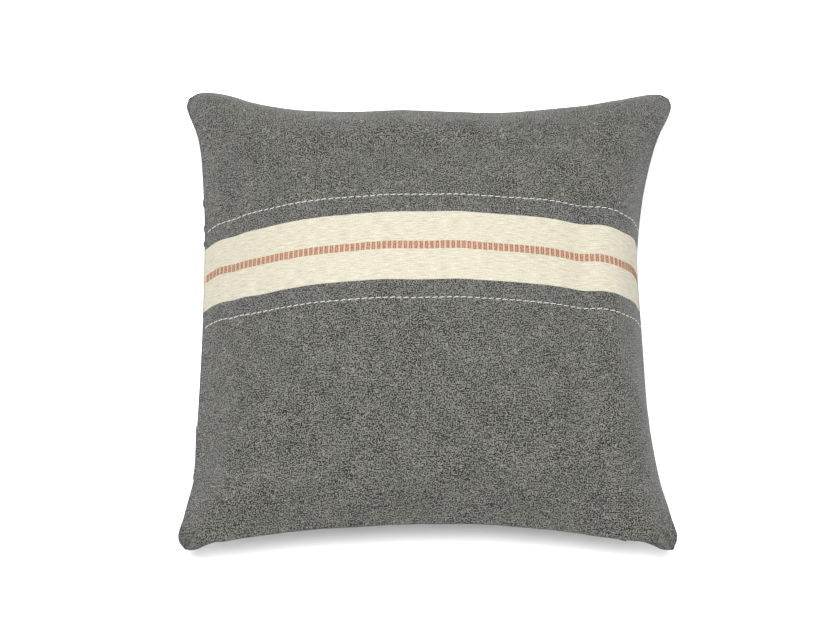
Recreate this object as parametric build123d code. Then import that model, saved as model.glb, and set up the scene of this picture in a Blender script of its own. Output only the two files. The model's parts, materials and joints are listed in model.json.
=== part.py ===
from build123d import *
from math import asin, comb, degrees
import os

# A square throw pillow lying on its back: a woven cover with a concealed zipper, over a stuffed insert.
#
# Row frame, millimetres: the origin is the middle of the flat patch that the pillow rests on, +Z points up
# through the crown of the striped front panel, +Y points to its top edge, and the zipper runs along the
# edge on the -Y side. "Inward" lengths are measured from the outer face of the cover on that edge.

# ---- the stuffed cover -------------------------------------------------------------------------------
HALF = 245.0  # centre to the blunt end of each corner ear
EAR_RADIUS = 12.0  # rounding of the corner ears, seen from above
EAR_TRIM = 6.0  # how far the sharp corner would run past the blunt end
EDGE_PULL = 61.0  # draws the middle of each edge in, between the corners
SEAM_Z = 58.0  # height of the seam above the floor
CROWN = 87.0  # from the seam up to the highest point
DEPTH = 72.0  # from the seam down to the underside, before the floor flattens it
CLOTH = 1.2  # thickness of the woven cover cloth

# Control rows across the pillow: place in plan and height, as shares of the full size.
STATIONS = (-1.0, -1.0, -0.7, 0.0, 0.7, 1.0, 1.0)
PROFILE = (0.0, 0.382, 1.375, 0.926, 1.375, 0.382, 0.0)

# ---- the insert --------------------------------------------------------------------------------------
INSERT_GAP = 0.5  # between the cover and the ticking, over the faces
INSERT_INSET = 17.0  # from the cover's inside to the insert's edge, leaving room for the seams
TICKING = 0.5
FILL_GAP = 0.3  # between the ticking and the filling
TICKING_SPLIT = 0.1  # between the two ticking panels at the insert's edge

# ---- closed seams ------------------------------------------------------------------------------------
ALLOWANCE = 11.0  # width of the turned-in cloth
THREAD = 0.35  # thickness of the overlock thread round the raw edges
THREAD_BITE = 3.5
LABEL_LENGTH, LABEL_WIDTH, LABEL_PLY = 34.0, 11.0, 0.3
LABEL_Y = -60.0
LABEL_INSET = 1.5  # from the inside of the cover to the label
THREAD_END = 308.0  # distance along each diagonal where the thread stops, short of the corner

# ---- concealed zipper --------------------------------------------------------------------------------
ZIP_HALF = 200.0  # half its length
ZIP_ROOM = 8.0  # kept clear behind the slider
SLIT = 1.8  # opening between the two folded panel edges
FOLD_DEPTH = 6.0  # from the wall to the tape
FOLD_HEIGHT = 6.0  # of the turned-in cloth behind the wall, from the slit
TAPE, TAPE_LOW, TAPE_HIGH = 0.6, 0.85, 6.6  # thickness, then the reach of each tape from the slit
TAPE_GAP = 0.05  # between the tape and the fold it is sewn to
COIL_RADIUS = 0.75
COIL_OFFSET = 1.55  # coil centre, above or below the middle of the slit
STOP_LENGTH, STOP_WALL, STOP_GAP = 3.0, 0.6, 0.02
END_PLAY = 1.0  # left between the slider and a stop at the end of its travel
SLIDER_LENGTH, SLIDER_DEPTH, SLIDER_HEIGHT = 9.0, 3.4, 6.4
RUNNING_GAP = 0.25  # between the slider and the coils and tapes
NECK = 1.0  # thickness of the neck through the slit
EYE_LENGTH, EYE_REACH = 5.0, 2.4  # the eye outside the cover that holds the pull
PIN_RADIUS = 0.6
PIN_GAP = 0.1
PIN_OUT = 1.2  # from the wall out to the hinge line of the pull
PULL_LENGTH, PULL_HEIGHT, PULL_THICKNESS = 20.0, 4.6, 1.0
FORK_DEPTH = 4.0  # from the hinge line to the bottom of the fork that straddles the eye
CHEEK_RADIUS = 0.9
GRIP_HOLE = 1.1
CHEEK_GAP = 0.15

# ---- decorative yarns on the front -------------------------------------------------------------------
DASH_ROWS = {"upper": 98.0, "lower": -14.0}  # Y of each row of cream dashes
DASH_WIDTH = 1.5
FLOAT_ROW = 42.0  # Y of the rust floats in the middle of the woven band
FLOAT_WIDTH = 8.2
YARN = 0.5
YARN_LIFT = 0.1  # under the yarn at the crown
ROW_REACH = 204.0  # the rows end where the panel turns down to the side seams

ROW_FLOOR = 1.0  # the yarn stops at least this far above the seam

# ---- cutting shapes ----------------------------------------------------------------------------------
BIG = 700.0
RUNOUT = 20.0  # of the zipper slit, out past the cover
OVERLAP = 1.0  # of a cut into room that is already open
GROOVE_ANGLE = 40.0  # turned by the coil grooves, well past both ends of the zipper
HALVINGS = 40  # in the search along the edge of the cover
LAST = len(STATIONS) - 1


# ---- pillow forms ------------------------------------------------------------------------------------
def weights(t):
    """Bernstein weights at a parameter from 0 to 1."""
    return [comb(LAST, i) * t**i * (1 - t) ** (LAST - i) for i in range(LAST + 1)]


CENTRE_SHARE = sum(w * h for w, h in zip(weights(0.5), PROFILE))


def control_net(half, height):
    """Control points of one face of a pillow form; a negative height makes the underside."""
    scale = height / CENTRE_SHARE**2
    return [
        [
            (
                u * (half - EDGE_PULL * (1 - v * v)),
                v * (half - EDGE_PULL * (1 - u * u)),
                SEAM_Z + scale * rise_u * rise_v,
            )
            for v, rise_v in zip(STATIONS, PROFILE)
        ]
        for u, rise_u in zip(STATIONS, PROFILE)
    ]


def net_point(net, s, t):
    """Point of the face that a control net describes."""
    point = Vector(0, 0, 0)
    for ws, row in zip(weights(s), net):
        for wt, knot in zip(weights(t), row):
            point += Vector(*knot) * (ws * wt)
    return point


def slab(low, high):
    """Everything between two heights."""
    return Pos(0, 0, (low + high) / 2) * Box(BIG, BIG, high - low)


def lens(inset, crown, depth):
    """Pillow form inset in plan from the cover's outside, with blunt corner ears."""
    half = HALF + EAR_TRIM - inset
    top = Face.make_bezier_surface(control_net(half, crown))
    under = Face.make_bezier_surface(control_net(half, -depth))
    side = 2 * (HALF - inset)
    return Solid(Shell([top, under])) & extrude(RectangleRounded(side, side, EAR_RADIUS), BIG)


def outline(inset):
    """Plan outline of the cover, inset, as a tall prism."""
    net = control_net(HALF + EAR_TRIM - inset, 1)
    rims = [net[0], [row[-1] for row in net], net[-1][::-1], [row[0] for row in net][::-1]]
    edges = [Bezier(*[(x, y) for x, y, _ in rim]) for rim in rims]
    return extrude(make_face(edges), BIG)


def whole(shape):
    """The single solid of a boolean's result."""
    (solid,) = shape.solids()
    return solid


# ---- the arc of the zipper ---------------------------------------------------------------------------
RIM = control_net(HALF + EAR_TRIM, CROWN)


def rim_point(x):
    """Point of the cover's edge on the -Y side at a place along X."""
    low, high = 0.0, 1.0
    for _ in range(HALVINGS):
        middle = (low + high) / 2
        low, high = (middle, high) if net_point(RIM, middle, 0).X < x else (low, middle)
    return net_point(RIM, low, 0)


WALL_Y = rim_point(0).Y
SAGITTA = WALL_Y - rim_point(ZIP_HALF).Y
RADIUS = (ZIP_HALF**2 + SAGITTA**2) / (2 * SAGITTA)
CENTRE = Vector(0, WALL_Y - RADIUS, SEAM_Z)
END_ANGLE = degrees(asin(ZIP_HALF / RADIUS))


def angle_of(length):
    """Angle that a length along the zipper takes up."""
    return degrees(length / RADIUS)


def on_arc(angle):
    """Frame on the outer face of the zipped edge: X along it, Y inward, Z up."""
    return Pos(*CENTRE) * Rot(0, 0, -angle) * Pos(0, RADIUS, 0)


def arc_strip(inward, thickness, low, high, start=-END_ANGLE, end=END_ANGLE):
    """Strip that follows the zipped edge, between two heights above the seam."""
    section = Pos(RADIUS + inward + thickness / 2, (low + high) / 2) * Rectangle(thickness, high - low)
    return Pos(*CENTRE) * Rot(0, 0, 90 - end) * revolve(Plane.XZ * section, Axis.Z, end - start)


def mirrored(shape):
    """The same zipper part on the other side of the slit."""
    return mirror(shape, Plane((0, 0, SEAM_Z), z_dir=(0, 0, 1)))


# ---- the cover ---------------------------------------------------------------------------------------
def cover_panels():
    """Front and back panels: the stretched cloth, its seam allowances and its folded zipper edges."""
    zip_room = FOLD_DEPTH + TAPE + SLIDER_DEPTH + ZIP_ROOM
    turned = slab(SEAM_Z - CLOTH, SEAM_Z + CLOTH) - outline(CLOTH + ALLOWANCE)
    turned -= arc_strip(0, zip_room, -2 * CLOTH, 2 * CLOTH)
    hollow = (lens(CLOTH, CROWN - CLOTH, DEPTH - CLOTH) & slab(CLOTH, BIG)) - turned
    hollow -= arc_strip(0, FOLD_DEPTH, -SLIT / 2 - CLOTH, SLIT / 2 + CLOTH)
    hollow -= arc_strip(FOLD_DEPTH - CLOTH, CLOTH, -FOLD_HEIGHT, FOLD_HEIGHT)
    slit = arc_strip(-RUNOUT, RUNOUT + zip_room, -SLIT / 2, SLIT / 2)
    shell = (lens(0, CROWN, DEPTH) & slab(0, BIG)) - hollow - slit
    return whole(shell & slab(SEAM_Z, BIG)), whole(shell & slab(-BIG, SEAM_Z))


def overlock_threads():
    """Thread wrapped over the raw edges of the allowances: one run along each closed seam."""
    near, far = CLOTH + ALLOWANCE - THREAD_BITE, CLOTH + ALLOWANCE + THREAD
    height = CLOTH + THREAD
    ring = (outline(near) - outline(far)) & slab(SEAM_Z - height, SEAM_Z + height)
    ring -= slab(SEAM_Z - CLOTH, SEAM_Z + CLOTH) - outline(CLOTH + ALLOWANCE)
    ring &= Rot(0, 0, 45) * Box(2 * THREAD_END, 2 * THREAD_END, BIG)
    left, middle, right = sorted(ring.solids().filter_by(on_closed_seam), key=lambda run: run.center().X)
    return {"left": left, "top": middle, "right": right}


def on_closed_seam(run):
    """True unless a run of thread is on the zipped side."""
    return run.center().Y > -HALF / 2


def care_label():
    """Blank folded label, caught in the left seam and lying under its lower allowance."""
    x = WALL_Y + CLOTH + LABEL_INSET + LABEL_WIDTH / 2
    z = SEAM_Z - CLOTH - THREAD - 2 * LABEL_PLY
    return Pos(x, LABEL_Y, z) * Box(LABEL_WIDTH, LABEL_LENGTH, 2 * LABEL_PLY)


# ---- the insert --------------------------------------------------------------------------------------
def insert_form(shrink):
    """Form of the insert, shrunk all round, on its own floor-side flat."""
    face = CLOTH + INSERT_GAP + shrink
    form = lens(CLOTH + INSERT_INSET + shrink, CROWN - face, DEPTH - face)
    return form & slab(face, BIG)


def insert_parts():
    """Front ticking, back ticking and the filling."""
    filling = whole(insert_form(TICKING + FILL_GAP))
    ticking = insert_form(0) - insert_form(TICKING)
    front = whole(ticking & slab(SEAM_Z + TICKING_SPLIT / 2, BIG))
    back = whole(ticking & slab(-BIG, SEAM_Z - TICKING_SPLIT / 2))
    return front, back, filling


# ---- zipper ------------------------------------------------------------------------------------------
TAPE_IN = FOLD_DEPTH + TAPE_GAP
COIL_IN = TAPE_IN + TAPE + COIL_RADIUS
STOP_REACH = COIL_OFFSET + COIL_RADIUS + STOP_WALL
SLIDER_ANGLE = END_ANGLE - angle_of(STOP_LENGTH + END_PLAY + SLIDER_LENGTH / 2)


def zipper_tape():
    """Upper tape, flat against the folded edge of the front panel."""
    return arc_strip(TAPE_IN, TAPE, TAPE_LOW, TAPE_HIGH)


def zipper_coil():
    """Upper row of teeth, a monofilament coil along the edge of the upper tape."""
    section = Pos(RADIUS + COIL_IN, COIL_OFFSET) * Circle(COIL_RADIUS)
    coil = revolve(Plane.XZ * section, Axis.Z, 2 * END_ANGLE)
    return whole(Pos(*CENTRE) * Rot(0, 0, 90 - END_ANGLE) * coil)


def coil_groove(gap):
    """Room for the upper coil and a gap all round it, well past both ends of the zipper."""
    bore = Pos(RADIUS + COIL_IN, COIL_OFFSET) * Circle(COIL_RADIUS + gap)
    return Pos(*CENTRE) * Rot(0, 0, 90 - GROOVE_ANGLE / 2) * revolve(Plane.XZ * bore, Axis.Z, GROOVE_ANGLE)


def zipper_stop(side, low):
    """Stop crimped round the coils at one end of the zipper, from a height above the slit upwards."""
    ends = sorted((side * END_ANGLE, side * (END_ANGLE - angle_of(STOP_LENGTH))))
    block = arc_strip(TAPE_IN + TAPE, 2 * COIL_RADIUS + STOP_WALL, low, STOP_REACH, *ends)
    groove = coil_groove(STOP_GAP)
    return whole(block - groove - mirrored(groove))


def slider_body():
    """Slider: a channelled body behind the tapes, a neck through the slit and an eye for the pull."""
    half, eye = angle_of(SLIDER_LENGTH / 2), angle_of(EYE_LENGTH / 2)
    ends = SLIDER_ANGLE - half, SLIDER_ANGLE + half
    eye_ends = SLIDER_ANGLE - eye, SLIDER_ANGLE + eye
    start = TAPE_IN + TAPE + RUNNING_GAP
    body = arc_strip(start, SLIDER_DEPTH, -SLIDER_HEIGHT / 2, SLIDER_HEIGHT / 2, *ends)
    groove = coil_groove(RUNNING_GAP)
    mouth = arc_strip(start - OVERLAP, OVERLAP + COIL_IN - start, TAPE_LOW, COIL_OFFSET + COIL_RADIUS, *ends)
    body = body - groove - mirrored(groove) - mouth - mirrored(mouth)
    body += arc_strip(-EYE_REACH, EYE_REACH + start + OVERLAP, -NECK / 2, NECK / 2, *eye_ends)
    return whole(body - pivot() * Cylinder(PIN_RADIUS + PIN_GAP, 3 * NECK))


def pivot():
    """Place of the pull's hinge pin, outside the cover."""
    return on_arc(SLIDER_ANGLE) * Pos(0, -PIN_OUT, 0)


def pull_tab():
    """Pull: a flat tab lying back along the zipper, its two cheeks joined by a pin through the eye."""
    tip = Pos(PULL_HEIGHT / 2 - PULL_LENGTH, 0, 0) * Rot(90, 0, 0)
    run = PULL_LENGTH - PULL_HEIGHT / 2
    tab = Pos(-run / 2, 0, 0) * Box(run, PULL_THICKNESS, PULL_HEIGHT)
    tab += tip * Cylinder(PULL_HEIGHT / 2, PULL_THICKNESS) + Cylinder(CHEEK_RADIUS, PULL_HEIGHT)
    tab -= tip * Cylinder(GRIP_HOLE, 3 * PULL_THICKNESS)
    fork = Box(2 * FORK_DEPTH, BIG, NECK + 2 * CHEEK_GAP)
    return whole(pivot() * (tab - fork + Cylinder(PIN_RADIUS, PULL_HEIGHT)))


# ---- decorative yarns --------------------------------------------------------------------------------
def yarn_layer():
    """Thin layer just above the front panel, to cut the rows of yarn from."""
    upper = lens(0, CROWN + YARN_LIFT + YARN, DEPTH)
    return upper - lens(0, CROWN + YARN_LIFT, DEPTH - OVERLAP) - slab(-BIG, SEAM_Z + ROW_FLOOR)


def yarn_row(layer, y, width):
    """One row of surface yarn, straight across the front panel."""
    return whole(layer & Pos(0, y, SEAM_Z) * Box(2 * ROW_REACH, width, BIG))


# ---- the pillow --------------------------------------------------------------------------------------
def all_parts():
    """Every part by its node name."""
    parts = {}
    parts["front_panel"], parts["back_panel"] = cover_panels()
    for side, run in overlock_threads().items():
        parts[f"overlock_thread_{side}"] = run
    parts["care_label"] = care_label()
    parts["insert_front_ticking"], parts["insert_back_ticking"], parts["insert_filling"] = insert_parts()
    parts["zipper_tape_front"] = zipper_tape()
    parts["zipper_tape_back"] = mirrored(zipper_tape())
    parts["zipper_coil_front"] = zipper_coil()
    parts["zipper_coil_back"] = mirrored(zipper_coil())
    parts["zipper_top_stop_front"] = zipper_stop(1, NECK / 2)
    parts["zipper_top_stop_back"] = mirrored(zipper_stop(1, NECK / 2))
    parts["zipper_bottom_stop"] = zipper_stop(-1, -STOP_REACH)
    parts["zipper_slider"] = slider_body()
    parts["zipper_pull"] = pull_tab()
    layer = yarn_layer()
    for name, y in DASH_ROWS.items():
        parts[f"cream_dash_yarn_{name}"] = yarn_row(layer, y, DASH_WIDTH)
    parts["rust_float_yarn"] = yarn_row(layer, FLOAT_ROW, FLOAT_WIDTH)
    return parts


os.makedirs("parts", exist_ok=True)
for name, part in all_parts().items():
    export_step(part, f"parts/{name}.step")
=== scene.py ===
"""Throw pillow: a heathered grey cover with a woven cream band, a concealed zipper and a stuffed insert."""

import json
import math

import bpy
import numpy as np
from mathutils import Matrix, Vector


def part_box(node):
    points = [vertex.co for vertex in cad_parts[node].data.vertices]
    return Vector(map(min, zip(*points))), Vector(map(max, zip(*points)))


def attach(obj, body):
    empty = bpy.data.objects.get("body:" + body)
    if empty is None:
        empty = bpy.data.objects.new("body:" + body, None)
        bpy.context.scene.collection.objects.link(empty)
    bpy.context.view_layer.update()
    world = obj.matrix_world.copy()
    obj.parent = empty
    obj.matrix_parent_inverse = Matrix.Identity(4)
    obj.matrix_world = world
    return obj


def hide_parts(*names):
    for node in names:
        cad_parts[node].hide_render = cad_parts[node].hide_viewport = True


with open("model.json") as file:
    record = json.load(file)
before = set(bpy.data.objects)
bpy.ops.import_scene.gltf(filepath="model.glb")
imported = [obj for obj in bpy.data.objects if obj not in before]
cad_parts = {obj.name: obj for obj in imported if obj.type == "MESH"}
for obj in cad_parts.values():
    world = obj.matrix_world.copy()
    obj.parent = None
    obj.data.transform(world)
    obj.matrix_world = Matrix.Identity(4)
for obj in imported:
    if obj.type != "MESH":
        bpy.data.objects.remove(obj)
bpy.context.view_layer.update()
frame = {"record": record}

MM = 0.001

# ---- places taken from the frame ---------------------------------------------------------------------
PANEL_LOW, PANEL_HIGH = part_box("front_panel")
HALF = PANEL_HIGH[0]
SEAM_Z = PANEL_LOW[2]
CROWN_Z = PANEL_HIGH[2]
JOINTS = {joint["name"]: joint for joint in frame["record"]["behaviour"]["joints"]}
ARC_X, ARC_Y, _ = JOINTS["slider_travel"]["pos_m"]
TAPE_BACK = 6.65 * MM  # from the cover's outside to the inner face of a zipper tape
ARC_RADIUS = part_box("zipper_tape_front")[1][1] - TAPE_BACK - ARC_Y
ZIP_HALF = 200 * MM
ROW_Y = {
    name: (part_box(name)[0][1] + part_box(name)[1][1]) / 2
    for name in ("cream_dash_yarn_upper", "cream_dash_yarn_lower", "rust_float_yarn")
}

# ---- the cover's cloth -------------------------------------------------------------------------------
FLAT = 500 * MM  # side of each cut panel inside its seams
CLOTH = 1.2 * MM
CELLS = 80  # cells across the simulated panel
FINE = 3  # cells of the finished panel in one simulated cell
SIM_FRAMES = 50
LIP = 7.8 * MM  # how far the front panel bulges out over the zipper
SAG = 1.16  # depth of the back, before the floor flattens it, as a share of the seam height
FLOOR_EASE = 4 * MM
FLAT_BASE = 8  # how far out the floor flattens the back: higher reaches nearer the seam
EAR_DROOP = 17 * MM  # how far the limp corner ears hang below the seam
DROOP_START, ZIPPED_DROOP_START = 0.8, 0.87  # share along an edge; the zipper's ends stay level
EDGE_REACH = 1.3  # how fast the easing onto the finished edges dies away from an edge
RELAX_ROUNDS = 3

# Inset of each edge from the square through the corners: (place along the edge, millimetres).
EDGE_INSETS = {
    "left": (
        (-1, -1), (-0.9, 0.5), (-0.81, 6), (-0.72, 11.5), (-0.46, 15),
        (0.1, 19.5), (0.52, 18.5), (0.79, 12), (0.93, 2), (1, 0),
    ),
    "right": (
        (-1, 0.5), (-0.9, 5), (-0.72, 17.5), (-0.5, 26.5), (-0.1, 33),
        (0.3, 36), (0.52, 30), (0.79, 14), (0.9, 3.5), (1, 0),
    ),
    "top": (
        (-1, 0), (-0.93, -1), (-0.82, 6), (-0.7, 15), (-0.4, 24),
        (0, 27), (0.42, 25.5), (0.67, 17), (0.83, 8), (0.93, 1), (1, 0),
    ),
}

# How far the cloth has crept towards the zipper at the side seams: (place along the edge, millimetres).
SIDE_CREEP = ((-1, 0), (-0.6, 0), (0, 1), (0.2, 4), (0.37, 8), (0.48, 10), (0.62, 10), (0.8, 6), (1, 0))
CREEP_POWER = 2.6  # how fast the creep dies away towards the middle


def smooth_curve(points, place):
    """Smooth curve through given points, at an array of places."""
    xs, ys = (np.array(column, float) for column in zip(*points))
    slopes = np.gradient(ys, xs)
    k = np.clip(np.searchsorted(xs, place) - 1, 0, len(xs) - 2)
    width = xs[k + 1] - xs[k]
    t = (place - xs[k]) / width
    return (
        (2 * t**3 - 3 * t**2 + 1) * ys[k]
        + (t**3 - 2 * t**2 + t) * width * slopes[k]
        + (3 * t**2 - 2 * t**3) * ys[k + 1]
        + (t**3 - t**2) * width * slopes[k + 1]
    )


def arc_y(x):
    """Y of the zipped edge, which follows the arc of the zipper."""
    return ARC_Y + np.sqrt(ARC_RADIUS**2 - (x - ARC_X) ** 2)


def edge_target(side, share):
    """Finished place of the seam along one edge, for shares from -1 to 1."""
    start = ZIPPED_DROOP_START if side == "bottom" else DROOP_START
    past = np.clip((np.abs(share) - start) / (1 - start), 0, 1)
    z = SEAM_Z - EAR_DROOP * past**2 * (3 - 2 * past)
    if side == "bottom":
        x = share * HALF
        end = HALF + arc_y(np.array(HALF))
        blend = np.clip((np.abs(x) - ZIP_HALF) / (HALF - ZIP_HALF), 0, 1) ** 2
        return np.stack([x, arc_y(x) - blend * end, z], -1)
    inset = smooth_curve(EDGE_INSETS[side], share) * MM
    if side == "top":
        return np.stack([share * HALF, HALF - inset, z], -1)
    sign = -1 if side == "left" else 1
    return np.stack([sign * (HALF - inset), share * HALF, z], -1)


# ---- cloth simulation --------------------------------------------------------------------------------
START_PULL = 0.11  # how far the edges start pulled in, as a share of the half width
START_BULGE, START_FULLNESS = 2.3, 0.55  # shape of the stuffed form before the simulation
SIM_FLOOR = -2.5 * MM  # lies low by about the thickness that the collision keeps
SIM_SETTINGS = {
    "quality": 6,
    "mass": 0.0001,
    "tension_stiffness": 80,
    "compression_stiffness": 80,
    "shear_stiffness": 4,
    "bending_model": "LINEAR",
    "bending_stiffness": 0.6,
    "tension_damping": 5,
    "compression_damping": 5,
    "shear_damping": 3,
    "air_damping": 2,
    "use_pressure": True,
    "use_pressure_volume": True,
    "target_volume": 0.0163,  # cubic metres in the stuffed cover
    "pressure_factor": 6.5,
}


def start_shape(u, v):
    """Height share of the stuffed form before the simulation."""
    return ((1 - np.abs(u) ** START_BULGE) * (1 - np.abs(v) ** START_BULGE)) ** START_FULLNESS


def cover_blank():
    """Front and back grids joined round the seam, as one mesh with its flat cut shape as a second key."""
    g = np.linspace(-1, 1, CELLS + 1)
    u, v = np.meshgrid(g, g, indexing="ij")
    x = u * HALF * (1 - START_PULL * (1 - v * v))
    y = v * HALF * (1 - START_PULL * (1 - u * u))
    rise = start_shape(u, v)
    front = np.stack([x, y, SEAM_Z + (CROWN_Z - SEAM_Z) * rise], -1).reshape(-1, 3)
    back = np.stack([x, y, SEAM_Z * (1 - rise)], -1).reshape(-1, 3)
    flat = np.stack([u * FLAT / 2, v * FLAT / 2, np.full_like(u, SEAM_Z)], -1).reshape(-1, 3)
    inner = (np.abs(u) < 1).ravel() & (np.abs(v) < 1).ravel()
    front_ids = np.arange(front.shape[0])
    back_ids = front_ids.copy()
    back_ids[inner] = front.shape[0] + np.arange(inner.sum())
    faces = np.concatenate([grid_faces(front_ids), grid_faces(back_ids)[:, ::-1]])
    mesh = bpy.data.meshes.new("cover_blank")
    mesh.from_pydata(np.concatenate([front, back[inner]]).tolist(), [], faces.tolist())
    blank = bpy.data.objects.new("cover_blank", mesh)
    bpy.context.scene.collection.objects.link(blank)
    blank.shape_key_add(name="Basis")
    cut = blank.shape_key_add(name="cut", from_mix=False)
    cut.data.foreach_set("co", np.concatenate([flat, flat[inner]]).astype(np.float32).ravel())
    cut.value = 0
    return blank, cut, back_ids


def grid_faces(ids):
    """Quads of a square grid of vertex numbers."""
    n = int(math.isqrt(len(ids)))
    g = ids.reshape(n, n)
    return np.stack([g[:-1, :-1], g[1:, :-1], g[1:, 1:], g[:-1, 1:]], -1).reshape(-1, 4)


def simulate_cover(frames):
    """Inflates the flat-cut cover onto the floor and returns its front and back grids."""
    blank, cut, back_ids = cover_blank()
    bpy.ops.mesh.primitive_plane_add(size=2, location=(0, 0, SIM_FLOOR))
    table = bpy.context.object
    table.modifiers.new("collision", "COLLISION")
    table.collision.thickness_outer = 1 * MM
    table.collision.cloth_friction = 8
    cloth = blank.modifiers.new("cloth", "CLOTH")
    for key, value in SIM_SETTINGS.items():
        setattr(cloth.settings, key, value)
    cloth.settings.rest_shape_key = cut
    cloth.collision_settings.distance_min = 2 * MM
    cloth.point_cache.frame_end = frames
    scene = bpy.context.scene
    scene.frame_start, scene.frame_end = 1, frames
    for step in range(1, frames + 1):
        scene.frame_set(step)
    shown = blank.evaluated_get(bpy.context.evaluated_depsgraph_get())
    co = np.empty(3 * len(shown.data.vertices), np.float32)
    shown.data.vertices.foreach_get("co", co)
    co = co.reshape(-1, 3).astype(float)
    n = CELLS + 1
    front, back = co[: n * n].reshape(n, n, 3), co[back_ids].reshape(n, n, 3)
    for thing in (blank, table):
        bpy.data.objects.remove(thing)
    scene.frame_set(1)
    return front, back


# ---- finishing the cover's shape ---------------------------------------------------------------------
def relax(grid, rounds):
    """Evens out the simulation's cell-sized noise and keeps the seam where it is."""
    for _ in range(rounds):
        grid[1:-1, 1:-1] += 0.5 * (
            (grid[:-2, 1:-1] + grid[2:, 1:-1] + grid[1:-1, :-2] + grid[1:-1, 2:]) / 4 - grid[1:-1, 1:-1]
        )


def fit_edges(*grids):
    """Eases the sheets so that their shared seam lies on the finished edges, most of all near the edges."""
    n = grids[0].shape[0]
    share = np.linspace(-1, 1, n)
    seam = grids[0]
    need = {
        "left": edge_target("left", share) - seam[0, :],
        "right": edge_target("right", share) - seam[-1, :],
        "bottom": edge_target("bottom", share) - seam[:, 0],
        "top": edge_target("top", share) - seam[:, -1],
    }
    near = ((1 + share) / 2) ** EDGE_REACH
    far = near[::-1]
    right, left = near[:, None, None], far[:, None, None]
    top, bottom = near[None, :, None], far[None, :, None]
    move = left * need["left"][None] + right * need["right"][None]
    move = move + bottom * need["bottom"][:, None] + top * need["top"][:, None]
    for x_part, i in ((left, 0), (right, -1)):
        for y_part, j in ((bottom, 0), (top, -1)):
            move = move - x_part * y_part * need["left" if i == 0 else "right"][j]
    for grid in grids:
        grid += move


def line_lengths(lines):
    """Running length along each line of points; lines are along the first axis."""
    steps = np.linalg.norm(np.diff(lines, axis=0), axis=-1)
    return np.concatenate([np.zeros_like(steps[:1]), np.cumsum(steps, axis=0)])


def evened(grid):
    """The same sheet with the cells of every line across it spread evenly."""
    lengths = line_lengths(grid)
    place = np.arange(grid.shape[0])
    out = np.empty_like(grid)
    for j in range(grid.shape[1]):
        want = place / place[-1] * lengths[-1, j]
        for c in range(3):
            out[:, j, c] = np.interp(want, lengths[:, j], grid[:, j, c])
    return out


def crept(grid):
    """The same sheet with its cloth slid towards the zipper near the side seams."""
    n = grid.shape[0]
    share = np.linspace(-1, 1, n)
    creep = smooth_curve(SIDE_CREEP, share) * MM / (FLAT / 2)
    out = np.empty_like(grid)
    for i, u in enumerate(share):
        want = share - creep * abs(u) ** CREEP_POWER
        for c in range(3):
            out[i, :, c] = np.interp(want, share, grid[i, :, c])
    return out


# Corner ears on the zipped side and on the opposite side; the reach keeps clear of the zipper.
EAR_RADIUS = (28 * MM, 17 * MM)
EAR_STRETCH = (8.5 * MM, 3 * MM)
EAR_REACH = (33 * MM, 60 * MM)
EAR_POINT = (1.9, 1.0)  # 1 rounds to a circle, more is blunter


def round_ears(grid):
    """Draws the four corner tips out a little and rounds them, seen from above."""
    plan = grid[..., :2]
    zipped_side = grid[..., 1:2] < 0
    radius, stretch, reach, point = (
        np.where(zipped_side, *pair) for pair in (EAR_RADIUS, EAR_STRETCH, EAR_REACH, EAR_POINT)
    )
    near = np.clip((np.abs(plan) - (HALF - reach)) / reach, 0, 1).prod(-1)
    plan += np.sign(plan) * stretch * near[..., None]
    core = HALF + stretch - radius
    past = np.abs(plan) - core
    both = (past > 0).all(-1)
    length = np.hypot(past[..., 0], past[..., 1])
    scale = np.where(both, past.max(-1) / np.maximum(length, 1e-9), 1)
    scale = scale ** point[..., 0]
    plan[both] = np.sign(plan[both]) * (core[both] + past[both] * scale[both][:, None])


def refined(grid, times):
    """The same sheet with finer cells, by cubic interpolation."""
    n = grid.shape[0] - 1
    place = np.linspace(0, n, n * times + 1)
    k = np.clip(place.astype(int), 0, n - 1)
    t = place - k
    weight = np.zeros((len(place), n + 1))
    taps = (
        (-1, -0.5 * t + t**2 - 0.5 * t**3),
        (0, 1 - 2.5 * t**2 + 1.5 * t**3),
        (1, 0.5 * t + 2 * t**2 - 1.5 * t**3),
        (2, -0.5 * t**2 + 0.5 * t**3),
    )
    rows = np.arange(len(place))
    for step, amount in taps:
        knot = k + step
        inside = np.clip(knot, 0, n)
        np.add.at(weight, (rows, inside), amount)
        over = knot - inside  # beyond the ends the sheet carries on straight
        mate = np.clip(inside - np.sign(over), 0, n)
        np.add.at(weight, (rows, inside), amount * np.abs(over))
        np.add.at(weight, (rows, mate), -amount * np.abs(over))
    return np.einsum("ai,bj,ijc->abc", weight, weight, grid)


def normals(grid, sign):
    """Outward unit normals of a sheet; sign is 1 for the front and -1 for the back."""
    across = np.gradient(grid, axis=0)
    along = np.gradient(grid, axis=1)
    n = sign * np.cross(across, along)
    return n / np.maximum(np.linalg.norm(n, axis=-1, keepdims=True), 1e-12)


# Height of the gathers and creases, all in millimetres: (height, reach in from the seam, start).
FINE_GATHERS, WIDE_GATHERS = (0.16, 7, 2), (0.45, 26, 6)
EAR_CREASES = ((-1, -1, 1.3), (1, -1, 1.0), (1, 1, 1.8), (-1, 1, 1.5))  # (side, side, depth)
CREASE_WIDTH, CREASE_MIDDLE, CREASE_LENGTH = 11, 62, 34  # middle is how far in from the corner
FACE_WAVE = 0.35


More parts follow.
